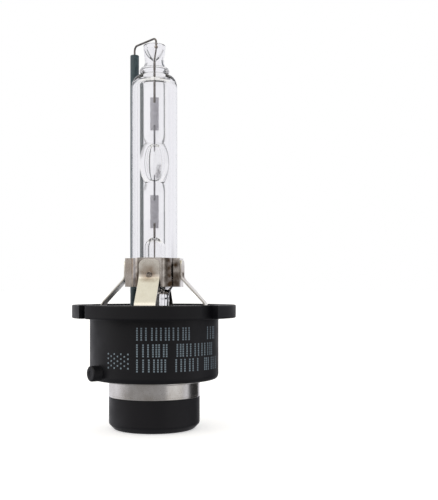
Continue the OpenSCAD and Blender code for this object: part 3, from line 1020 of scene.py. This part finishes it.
@dataclass
class Clamp:
    """The clamp band, the four legs and their welds."""

    shop: Workshop
    legs: tuple[str, ...] = ("leg_front", "leg_left", "leg_rear", "leg_right")
    leg_w: float = 3.95
    leg_t: float = 0.3
    leg_corner: float = 1.15
    inner_r: float = 5.25
    bend_z: float = 4.9
    foot_r: float = 10.2
    anchor: float = 2.2
    band_r: float = 4.63
    band_t: float = 0.25
    pad_w: float = 4.55
    seam_azimuth: float = -50.0
    seam_w: float = 0.15
    slot_size: Point = (0.5, 3.0)
    weld_r: float = 0.62
    softening: float = 0.06

    def leg(self, name: str, azimuth: float) -> Object:
        """Bends a leg from its rounded top to its moulded-in foot."""
        top = self.shop.top(name)
        foot = self.foot_r - self.leg_t
        bend = rounded([
            (self.inner_r, top, 0), (self.inner_r, self.bend_z + 0.12, 0.75),
            (foot, 0, 0.8), (foot, -self.anchor, 0),
        ], steps=8)
        out = azimuth_vector(azimuth)
        across = Vector((0, 0, 1)).cross(out) * self.leg_w
        path = [out * r + Vector((0, 0, z)) for r, z in bend]
        return strip(name + "_strip", path, across, self.leg_t, 0.05, self.leg_corner)

    def band(self) -> Object:
        """Cuts the clamp band, with its four pads, its seam and its slot."""
        bottom, top = self.shop.span("clamp_ring")
        height = top - bottom
        middle = (top + bottom) / 2

        def shell(inset: float, spare: float) -> Object:
            """Makes the band's outline as a solid, drawn in by an inset and longer by a spare."""
            pad = self.inner_r - inset
            obj = plug("band", self.band_r - inset, bottom - spare, top + spare, 96)
            for azimuth in LEG_AZIMUTHS:
                size = (self.pad_w - 2 * inset, pad, height + 2 * spare)
                combine(obj, box("pad", size, (0, -pad / 2, middle), azimuth), Boolean.ADD)
            return obj

        obj = combine(shell(0, 0), shell(self.band_t, 0.5), Boolean.CUT)
        for w, h in ((self.seam_w, height + 1), self.slot_size):
            cut = box("seam", (w, 6, h), (0, -4.5, middle), self.seam_azimuth)
            combine(obj, cut, Boolean.CUT)
        obj.name = "clamp_band"
        return soften(obj, self.softening, segments=3, angle=30)

    def weld(self, azimuth: float, height: float) -> Object:
        """Turns a weld spot, a sunk middle in a raised rim, and stands it on a leg."""
        r = self.weld_r
        obj = turn("weld", rounded([
            (r, 0, 0), (r * 0.97, 0.1, 0.05), (r * 0.78, 0.155, 0.06), (r * 0.55, 0.11, 0.08),
            (r * 0.3, 0.03, 0.08), (r * 0.14, 0.075, 0.04), (0, 0.08, 0),
        ]) + [(0, 0)], closed=True, steps=32)
        place = azimuth_vector(azimuth, (self.inner_r + self.leg_t) * MM)
        place.z = height * MM
        return placed(obj, Matrix.Translation(place) @ turned_to(azimuth) @ LAID_FORWARD)

    def build(self) -> None:
        """Models the band, the legs and the welds."""
        for leg, azimuth in zip(self.legs, LEG_AZIMUTHS):
            self.shop.hand_over(self.leg(leg, azimuth), LEG_STEEL, "leg_steel", leg)
        self.shop.hand_over(self.band(), CLAMP_STEEL, "clamp_steel", "clamp_ring")
        height = sum(self.shop.span("leg_welds")) / 2
        welds = [self.weld(azimuth, height) for azimuth in LEG_AZIMUTHS]
        spots = merge_objects(welds[0], welds[1:])
        spots.name = "leg_weld_spots"
        self.shop.hand_over(spots, WELD_METAL, "weld_metal", "leg_welds")


@dataclass
class Burner:
    """The glass sleeve and the quartz burner with its metal."""

    shop: Workshop
    sleeve_r: float = 4.35
    wall: float = 1.0
    shoulder_z: float = 41.7
    seal_z: float = 43.9
    foot_z: float = 4.6
    foot_h: float = 2.4
    neck_r: float = 2.8
    bead_h: float = 1.5
    stem_r: float = 2.1
    bore_r: float = 1.4
    gap: float = 0.012
    centre_z: float = 27.1
    chamber_r: float = 2.85
    chamber_h: float = 7.6
    waist_r: float = 1.85
    chamber_steps: int = 24
    cavity_r: float = 1.35
    cavity_h: float = 6.6
    cavity_fullness: float = 0.75
    open_end_z: float = 12.9
    flare_r: float = 2.15
    flare_wall: float = 0.55
    foil_w: float = 1.1
    foil_t: float = 0.06
    foil_rows: int = 28
    rod_r: float = 0.121
    rod_tips: Point = (0.13, 0.05)
    salt_grains: int = 420
    salt_inset: float = 0.06
    salt_size: Point = (0.025, 0.06)
    seed: int = 5

    def necks(self) -> tuple[Point, Point]:
        """Returns the heights between which the sleeve is fused to the burner's stems."""
        foot = (self.shop.bottom("outer_sleeve"), self.foot_z - self.foot_h + self.wall)
        return foot, (self.seal_z - self.wall, self.seal_z + self.bead_h)

    def hollow(self, a: float) -> Point:
        """Returns the chamber's inner radius, and its height, at an angle up from its middle."""
        r = self.cavity_r * max(math.cos(a), 0.0) ** self.cavity_fullness
        return r, self.centre_z + self.cavity_h / 2 * math.sin(a)

    def fuse(self, obj: Object) -> None:
        """Gives the faces where the sleeve and the stems are one glass a finish that isn't seen."""
        obj.data.materials.append(self.shop.finish_of(FUSED_SEAM))
        necks = self.necks()
        for face in obj.data.polygons:
            r = max(math.hypot(*obj.data.vertices[i].co[:2]) for i in face.vertices) / MM
            z = [obj.data.vertices[i].co.z / MM for i in face.vertices]
            inside = any(low - 0.02 <= min(z) and max(z) <= high + 0.02 for low, high in necks)
            level = max(z) - min(z) < 0.001
            if inside and not level and abs(r - self.stem_r) < 2 * self.gap:
                face.material_index = 1

    def sleeve(self) -> Object:
        """Turns the outer sleeve, with its shoulder, its bead and its necks."""
        inner = self.stem_r + self.gap
        neck_end = self.foot_z - self.foot_h
        bottom = self.shop.bottom("outer_sleeve")
        outside: list[Corner] = [(inner, bottom, 0), (self.neck_r, bottom, 0.2)]
        outside += [(self.neck_r, 0.3, 0), (self.neck_r + 0.06, 0.8, 0.4), (self.neck_r, 1.3, 0)]
        outside += [(self.neck_r, neck_end, 0.7), (self.sleeve_r, self.foot_z + 0.1, 0.9)]
        rise = self.seal_z - self.shoulder_z
        outside += arc(self.neck_r, self.shoulder_z, self.sleeve_r - self.neck_r, rise, 0, 78, 14)
        bead_mid = self.seal_z + self.bead_h / 2 + 0.1
        outside += arc(self.neck_r - 0.7, bead_mid, 0.72, self.bead_h / 2 - 0.05, -55, 85, 12)
        outside += [(inner, self.seal_z + self.bead_h, 0)]
        reach = self.sleeve_r - self.wall
        inside = arc(inner, self.shoulder_z, reach - inner, rise - self.wall, 90, 0, 16)
        inside += [(reach, self.foot_z + 0.4, 0.8), (inner, neck_end + self.wall, 0)]
        return turn("outer_sleeve_glass", rounded(outside + inside, closed=True), closed=True)

    def burner(self) -> Object:
        """Turns the quartz burner with its arc chamber and its open ends."""
        bottom, top = self.shop.span("arc_tube")
        low = self.centre_z - self.chamber_h / 2
        high = self.centre_z + self.chamber_h / 2
        dome = self.bore_r * 1.4
        (neck_low, neck_high), (seal_low, seal_high) = self.necks()
        section: list[Corner] = arc(0, self.open_end_z - dome, self.bore_r, dome, 90, 0, 12)
        section += [
            (self.bore_r, bottom, 0.2), (self.stem_r, bottom, 0.3),
            (self.stem_r, neck_low, 0), (self.stem_r, neck_high, 0),
            (self.stem_r, low - 1.2, 0.5), (self.waist_r, low - 0.3, 0.25),
        ]
        narrowing = 1 - (self.waist_r / self.chamber_r) ** 2
        for k in range(self.chamber_steps + 1):
            t = 2 * k / self.chamber_steps - 1
            r = self.chamber_r * math.sqrt(1 - narrowing * t * t)
            section.append((r, self.centre_z + self.chamber_h / 2 * t, 0))
        mouth = self.flare_r - self.flare_wall
        section += [
            (self.waist_r, high + 0.3, 0.25), (self.stem_r, high + 1.2, 0.5),
            (self.stem_r, seal_low, 0), (self.stem_r, seal_high, 0),
            (self.stem_r, seal_high + 0.1, 0.1), (self.stem_r - 0.35, seal_high + 1.0, 0.7),
            (self.flare_r - 0.08, top - 1.0, 0.8), (self.flare_r, top, 0.35),
            (mouth, top - 0.05, 0.25), (mouth - 0.02, top - 1.0, 0.4), (0.95, top - 2.3, 0.5),
            (0.3, top - 3.1, 0.2), (0.16, top - 3.5, 0), (0, top - 3.5, 0),
        ]
        outer = turn("arc_tube_quartz", rounded(section))
        rises = [-90 + 180 * k / self.chamber_steps for k in range(self.chamber_steps + 1)]
        cavity = [self.hollow(math.radians(rise)) for rise in rises]
        return merge_objects(outer, [turn("cavity", cavity, void=True, steps=64)])

    def foil(self, node: str) -> Object:
        """Rolls a thin sealing foil with slightly wavy edges and face."""
        low, high = self.shop.span(node)
        rows = self.foil_rows
        half = self.foil_w / 2
        dice = random.Random(self.seed + len(node))
        phase = dice.uniform(0, 6)
        obj = start_vertex(node + "_sheet", Vector((-half, 0, low)) * MM)
        extrude_along([Vector((half * (k / 4 - 1), 0, low)) * MM for k in range(9)])
        select_mesh()
        extrude_along([Vector((0, 0, low + (high - low) * k / rows)) * MM for k in range(rows + 1)])
        leave_mesh()
        for v in obj.data.vertices:
            z = v.co.z / MM
            v.co.x *= 1 - 0.02 * math.sin(3.1 * z + phase)
            v.co.y += 0.011 * math.sin(5.2 * z + phase + 2.0 * v.co.x / MM) * MM
        apply_modifier(obj, "SOLIDIFY", thickness=self.foil_t * 0.7 * MM, offset=0)
        select(obj)
        edit_mesh()
        close_up()
        return smooth(obj)

    def electrode(self, node: str, tip_low: float, tip_high: float) -> Object:
        """Turns a straight electrode, with a rounded tip at each end."""
        r, (low, high) = self.rod_r, self.shop.span(node)
        return turn(node + "_rod", rounded([
            (0, low, 0), (r, low, tip_low), (r, low + 1.0, 0), (r * 1.03, (low + high) / 2, 0.5),
            (r, high - 1.0, 0), (r, high, tip_high), (0, high, 0),
        ]), steps=24)

    def salt_places(self) -> list[Matrix]:
        """Returns where each salt crystal lies on the chamber's wall, turned and squashed."""
        dice = random.Random(self.seed)
        places: list[Matrix] = []
        for _ in range(self.salt_grains):
            r, z = self.hollow(math.radians(dice.triangular(-64, 0, -34)))
            r -= self.salt_inset
            a = math.radians(dice.triangular(-84, -22, -56))
            place = Matrix.Translation(Vector((r * math.cos(a), r * math.sin(a), z)) * MM)
            size = dice.uniform(*self.salt_size)
            angle = dice.uniform(0, 6.28)
            spin = Matrix.Rotation(angle, 4, Vector((dice.random(), dice.random(), 1)))
            sides = (size, size * dice.uniform(0.6, 1), size * dice.uniform(0.4, 0.9), 1)
            places.append(place @ spin @ Matrix.Diagonal(sides) @ Matrix.Diagonal((MM, MM, MM, 1)))
        return places

    def salts(self) -> Object:
        """Scatters salt crystals over one side of the chamber's wall."""
        clear_selection()
        bpy.ops.mesh.primitive_ico_sphere_add(subdivisions=1, radius=1.0, location=(0, 0, 0))
        return scattered("salt_crystals", bpy.context.object, self.salt_places())

    def build(self) -> None:
        """Models the glass and the metal inside it."""
        sleeve = self.shop.hand_over(self.sleeve(), SLEEVE_GLASS, "sleeve_glass", "outer_sleeve")
        burner = self.shop.hand_over(self.burner(), BURNER_QUARTZ, "burner_quartz", "arc_tube")
        for glass in (sleeve, burner):
            self.fuse(glass)
        for node, tips in (
            ("upper_electrode", self.rod_tips), ("lower_electrode", self.rod_tips[::-1]),
        ):
            self.shop.hand_over(self.electrode(node, *tips), TUNGSTEN, "tungsten", node)
        for node in ("upper_foil", "lower_foil"):
            self.shop.hand_over(self.foil(node), FOIL_METAL, "foil_metal", node)
        for node in ("upper_lead", "lower_lead"):
            self.shop.keep(node, WIRE_METAL)
        self.shop.hand_over(self.salts(), SALTS, "salts", "halide_salts")


@dataclass
class ReturnLead:
    """The ceramic tube and the return wire."""

    shop: Workshop
    azimuth: float = 144.0
    distance: float = 7.5
    tube_r: float = 0.875
    bore_r: float = 0.35
    unevenness: float = 0.01
    rings: int = 12

    def tube(self) -> Object:
        """Turns the ceramic tube, with rounded lips and a slight unevenness."""
        low, high = self.shop.span("ceramic_tube")
        end_r = self.tube_r - self.unevenness
        section: list[Corner] = [(self.bore_r, low, 0.06), (end_r, low, 0.12)]
        for k in range(1, self.rings):
            r = self.tube_r - self.unevenness * (1 + math.sin(k * 2.3))
            section.append((r, low + (high - low) * k / self.rings, 0))
        section += [(end_r, high, 0.16), (self.bore_r, high, 0.1)]
        obj = turn("ceramic_tube_glazed", rounded(section, closed=True), closed=True, steps=48)
        return moved_out(obj, self.azimuth, self.distance)

    def build(self) -> None:
        """Models the tube and dresses the wire."""
        self.shop.hand_over(self.tube(), TUBE_CERAMIC, "tube_ceramic", "ceramic_tube")
        self.shop.keep("return_wire", WIRE_METAL)
        self.shop.keep("wire_joint", WELD_METAL)


@dataclass
class Socket:
    """The ring contact, the socket nose and the centre pin."""

    shop: Workshop
    neck_r: float = 8.7
    ring_t: float = 0.4
    lip_r: float = 9.55
    spigot_r: float = 7.37
    spigot_h: float = 2.2
    socket_r: float = 5.9
    socket_depth: float = 7.4
    chamfer: float = 1.1
    collar_r: float = 3.2
    collar_h: float = 2.6
    key_w: float = 2.6
    keys: tuple[float, ...] = (80.0, 172.0)
    key_inner_r: float = 3.0
    key_recess: float = 2.0
    key_sunk: float = 0.3
    pin_r: float = 1.9
    pin_recess: float = 1.4
    root_r: float = 2.6
    bore_r: float = 0.35
    dimple_r: float = 0.85
    dimple_h: float = 0.5
    tab_azimuth: float = 144.0
    tab_w: float = 5.3
    tab_r: float = 11.4
    tab_z: float = -13.85
    slot_w: float = 0.7
    slot_r: float = 10.5
    mouth_flare: float = 0.3
    pin_bead: tuple[float, int] = (0.82, 3)
    tab_bead: tuple[float, int] = (0.65, 8)
    softening: float = 0.09

    def ring(self) -> Object:
        """Turns the ring contact and bends its welding tab."""
        under = self.shop.bottom("base_body")
        low = self.shop.bottom("contact_ring")
        inner = self.neck_r - self.ring_t
        ring = turn("contact_band", rounded([
            (inner, low, 0.1), (self.neck_r, low, 0.18), (self.neck_r, under - self.ring_t, 0.16),
            (self.lip_r, under - self.ring_t, 0.14), (self.lip_r, under, 0.1), (inner, under, 0.1),
        ], closed=True), closed=True)
        groove = turn("rolled_line", [
            (self.neck_r - 0.03, low + 0.42),
            (self.neck_r + 0.1, low + 0.36), (self.neck_r + 0.1, low + 0.48),
        ], closed=True)
        combine(ring, groove, Boolean.CUT)
        out = azimuth_vector(self.tab_azimuth)
        across = Vector((0, 0, 1)).cross(out) * self.tab_w
        riser = self.neck_r + 0.25
        bend = rounded([
            (riser, under - self.ring_t + 0.02, 0), (riser, self.tab_z, 0.25),
            (self.tab_r, self.tab_z, 0),
        ])
        path = [out * r + Vector((0, 0, z)) for r, z in bend]
        tab = strip("welding_tab", path, across, self.ring_t, 0.05)
        end = plug("slot_end", self.slot_w / 2, -15, -13, 24)
        combine(tab, placed(end, Matrix.Translation(out * self.slot_r * MM)), Boolean.CUT)
        place = (0, -self.slot_r - 1.0, -14.0)
        slot = box("slot", (self.slot_w, 2.0, 2.0), place, self.tab_azimuth)
        combine(tab, slot, Boolean.CUT)
        return merge_objects(smooth(ring), [smooth(tab)])

    def nose(self) -> Object:
        """Turns the nose, with its socket, its collar and its two keys."""
        under = self.shop.bottom("base_body")
        ring_low = self.shop.bottom("contact_ring")
        mouth = self.shop.bottom("socket_nose")
        floor = mouth + self.socket_depth
        inner = self.neck_r - self.ring_t - 0.03
        shaft = self.pin_r - 0.01
        section = rounded([
            (shaft, floor - self.collar_h, 0.05), (self.collar_r, floor - self.collar_h, 0.2),
            (self.collar_r, floor, 0.25), (self.socket_r, floor, 0.4),
            (self.socket_r, mouth + self.mouth_flare, 0.15),
            (self.socket_r + self.mouth_flare, mouth, 0.12),
            (self.neck_r - self.chamfer, mouth, 0.3),
            (self.neck_r, mouth + self.chamfer, 0.3), (self.neck_r, ring_low - 0.02, 0.1),
            (inner, ring_low - 0.02, 0), (inner, under, 0), (self.spigot_r, under, 0),
            (self.spigot_r, under + self.spigot_h, 0), (shaft, under + self.spigot_h, 0),
        ], closed=True)
        obj = turn("nose_moulding", section, closed=True)
        height = self.socket_depth - self.key_recess + self.key_sunk
        inset = self.socket_r + self.key_sunk - self.key_inner_r
        place = (0, -(self.key_inner_r + inset / 2), mouth + self.key_recess + height / 2)
        for azimuth in self.keys:
            combine(obj, box("key", (self.key_w, inset, height), place, azimuth), Boolean.ADD)
        return soften(obj, self.softening)

    def pin(self) -> Object:
        """Turns the centre pin, with its dimple and its root."""
        tip, root = self.shop.span("contact_pin")
        floor = tip - self.pin_recess + self.socket_depth
        step = floor - self.collar_h + 0.05
        waist = self.pin_r - 0.2
        return turn("centre_pin", rounded([
            (self.bore_r, root, 0), (self.root_r, root, 0.1), (self.root_r, floor, 0.1),
            (waist, floor, 0), (waist, step, 0), (self.pin_r, step, 0),
            (self.pin_r, tip + 0.45, 0.25), (self.pin_r - 0.45, tip, 0.2),
            (self.dimple_r + 0.03, tip, 0.08), (self.dimple_r, tip + self.dimple_h, 0.1),
            (self.bore_r, tip + self.dimple_h, 0),
        ], closed=True), closed=True, steps=64)

    def bead(self, node: str, r: float, seed: int) -> Object:
        """Melts a weld bead: a domed disc, uneven, that fills a CAD weld's box."""
        low, high = self.shop.span(node)
        obj = turn(node + "_bead", rounded([
            (0, high, 0), (r * 0.96, high, 0.05), (r, (low + high) / 2, 0.1),
            (r * 0.7, low + 0.05, 0.2), (0, low, 0),
        ]), steps=32)
        dice = random.Random(seed)
        waves = [(dice.uniform(2, 5), dice.uniform(0, 6.28)) for _ in range(3)]
        for v in obj.data.vertices:
            a = math.atan2(v.co.y, v.co.x)
            dent = sum(math.sin(k * a + p) for k, p in waves) * 0.012
            v.co.x *= 1 - 0.03 - dent
            v.co.y *= 1 - 0.03 - dent
            v.co.z += (high * MM - v.co.z) * abs(dent) * 2.5
        return obj

    def build(self) -> None:
        """Models the socket's pieces."""
        self.shop.hand_over(self.ring(), RING_METAL, "ring_metal", "contact_ring")
        self.shop.hand_over(self.nose(), NOSE_PLASTIC, "nose_plastic", "socket_nose")
        self.shop.hand_over(self.pin(), PIN_METAL, "pin_metal", "contact_pin")
        weld = self.bead("pin_weld", *self.pin_bead)
        self.shop.hand_over(weld, WELD_METAL, "weld_metal", "pin_weld")
        weld = moved_out(self.bead("tab_weld", *self.tab_bead), self.tab_azimuth, self.slot_r)
        self.shop.hand_over(weld, WELD_METAL, "weld_metal", "tab_weld")


PANEL_FADE = 0.12


@dataclass(frozen=True)
class LightPanel:
    """An upright panel of the room: a light, or a dark screen."""

    azimuth: float
    half_width: float
    fade: float
    span: tuple[float, float]
    color: Color


@dataclass
class Studio:
    """A plain pale room with soft light, and the camera."""

    floor_z: float
    camera_place: tuple[float, float, float] = (12.4, -165.0, 2.6)
    lens: float = 61.8
    shift: float = 0.082
    low_tone: Color = (0.33, 0.325, 0.33)
    front_tone: Color = (0.4, 0.385, 0.38)
    back_tone: Color = (0.82, 0.815, 0.86)
    top_tone: Color = (0.92, 0.9, 0.8)
    under_tone: Color = (0.3, 0.3, 0.31)
    clear_tone: Color = (0.9, 0.895, 0.93)
    clear_share: float = 0.52
    floor_glow: float = 0.5
    floor_gap: float = 0.02
    floor_reach: float = 20.0
    key_place: Corner = (-0.35, -0.6, 0.45)
    key_size: float = 0.9
    key_power: float = 1.4
    key_color: Color = (1.0, 0.98, 0.96)
    panels: tuple[LightPanel, ...] = (
        LightPanel(-58.0, 12.0, 16.0, (-0.5, 0.5), (0.78, 0.77, 0.77)),
        LightPanel(-126.0, 18.0, 14.0, (-0.6, -0.05), (0.03, 0.03, 0.03)),
        LightPanel(78.0, 16.0, 6.0, (0.06, 0.75), (1.15, 1.12, 1.1)),
        LightPanel(108.0, 6.0, 3.0, (0.06, 0.8), (0.32, 0.31, 0.33)),
        LightPanel(-84.0, 12.0, 6.0, (0.06, 0.7), (0.8, 0.8, 0.85)),
        LightPanel(-62.0, 6.0, 4.0, (0.06, 0.7), (0.05, 0.035, 0.02)),
        LightPanel(-112.0, 6.0, 3.0, (0.06, 0.8), (0.5, 0.5, 0.55)),
    )

    def camera(self) -> None:
        """Sets the camera up level, close in front and a little to the right."""
        data = bpy.data.cameras.new("camera")
        data.lens = self.lens
        data.sensor_width = 36.0
        data.shift_y = self.shift
        data.clip_start = 0.005
        data.clip_end = 20.0
        obj = bpy.data.objects.new("camera", data)
        bpy.context.scene.collection.objects.link(obj)
        obj.location = Vector(self.camera_place) * MM
        obj.rotation_euler = (math.radians(90), 0, 0)
        bpy.context.scene.camera = obj

    def floor(self) -> None:
        """Lays a wide sheet of white paper that is seen from above and throws no light back up."""
        far = self.floor_reach
        height = (self.floor_z - self.floor_gap) * MM
        obj = start_vertex("studio_floor", Vector((-far, -far, height)))
        extrude_along([Vector((-far, 0, 0)), Vector((far, 0, 0))])
        select_mesh()
        extrude_along([Vector((0, y, 0)) for y in (-far, -1, 1, far)])
        leave_mesh()
        material, tree, shader, place = new_material("studio_paper")
        below = tree.add("NewGeometry").outputs["Backfacing"]
        clouds = tree.math("MULTIPLY", tree.noise(place, 40.0, 2.0), 0.1)
        paper = tree.mix(clouds, (0.93, 0.93, 0.93), (0.9, 0.9, 0.91))
        tree.feed(shader, {
            "Base Color": paper, "Roughness": 0.95, "Specular IOR Level": 0.0,
            "Emission Color": (1.0, 1.0, 1.0, 1.0), "Emission Strength": self.floor_glow,
            "Alpha": tree.math("SUBTRACT", 1.0, below),
        })
        obj.data.materials.append(material)
        obj.visible_diffuse = obj.visible_glossy = False
        obj.visible_transmission = obj.visible_shadow = False
        if obj.data.polygons[0].normal.z < 0:
            obj.data.flip_normals()

    def panel(self, tree: Tree, way: Sequence[NodeSocket], light: LightPanel) -> NodeSocket:
        """Works out how much of a panel a direction of the room sees.

        Args:
            tree: The world's tree.
            way: The direction's three parts.
            light: The panel.

        Returns:
            The panel's share, from 0 to 1.
        """
        a = math.radians(light.azimuth)
        x, y, z = way
        across, ahead = (tree.math("MULTIPLY", v, -f(a)) for v, f in ((x, math.sin), (y, math.cos)))
        rest = tree.math("SUBTRACT", 1.0, tree.math("MULTIPLY", z, z))
        level = tree.math("SQRT", tree.math("MAXIMUM", rest, 0.0001))
        flat = tree.math("DIVIDE", tree.math("ADD", across, ahead), level)
        edge = math.cos(math.radians(light.half_width))
        soft = math.cos(math.radians(light.half_width + light.fade))
        low, high = light.span
        tall = tree.math(
            "MULTIPLY", tree.ease(z, low - PANEL_FADE, low), tree.ease(z, high + PANEL_FADE, high)
        )
        return tree.math("MULTIPLY", tree.ease(flat, soft, edge), tall)

    def world(self) -> None:
        """Paints the room by direction: dim in front, white behind and above, panels beside."""
        world = bpy.data.worlds.new("studio")
        world.use_nodes = True
        world.node_tree.nodes.clear()
        tree = Tree(world.node_tree)
        parts = tree.add("SeparateXYZ", {0: tree.add("TexCoord").outputs["Generated"]})
        way = [parts.outputs[i] for i in range(3)]
        tone = tree.mix(tree.ease(way[2], -0.12, 0.03), self.low_tone, self.front_tone)
        tone = tree.mix(tree.ease(way[1], -0.6, 0.3), tone, self.back_tone)
        tone = tree.mix(tree.ease(way[2], 0.5, 0.85), tone, self.top_tone)
        for light in self.panels:
            tone = tree.mix(self.panel(tree, way, light), tone, light.color)
        tone = tree.mix(tree.ease(way[2], -0.25, -0.6), tone, self.under_tone)
        ray = tree.add("LightPath")
        through = tree.math("MULTIPLY", ray.outputs["Is Transmission Ray"], self.clear_share)
        tone = tree.mix(through, tone, self.clear_tone)
        shade = tree.add("Background", {
            "Color": tree.mix(ray.outputs["Is Camera Ray"], tone, (1.0, 1.0, 1.0)), "Strength": 1.0,
        })
        tree.add("OutputWorld", {"Surface": shade.outputs[0]})
        bpy.context.scene.world = world

    def key_light(self) -> None:
        """Hangs one soft square light that faces the bulb."""
        data = bpy.data.lights.new("key_light", "AREA")
        data.shape = "RECTANGLE"
        data.size = data.size_y = self.key_size
        data.energy = self.key_power
        data.color = self.key_color
        obj = bpy.data.objects.new("key_light", data)
        bpy.context.scene.collection.objects.link(obj)
        place = obj.location = Vector(self.key_place)
        obj.rotation_euler = (Vector((0, 0, 0.012)) - place).to_track_quat("-Z", "Y").to_euler()

    def build(self) -> None:
        """Sets up the camera, the floor and the light."""
        self.camera()
        self.floor()
        self.world()
        self.key_light()
        bpy.context.scene.view_settings.view_transform = "Standard"


def main() -> None:
    """Builds the bulb and its studio in order."""
    logging.basicConfig(level=logging.INFO, format="%(name)s: %(message)s")
    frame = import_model()
    shop = Workshop(frame["nodes"])
    Studio(shop.bottom("socket_nose")).build()
    for part in (Base(shop), Clamp(shop), Burner(shop), ReturnLead(shop), Socket(shop)):
        log.info("building %s", type(part).__name__)
        part.build()


if __name__ == "__main__":
    main()
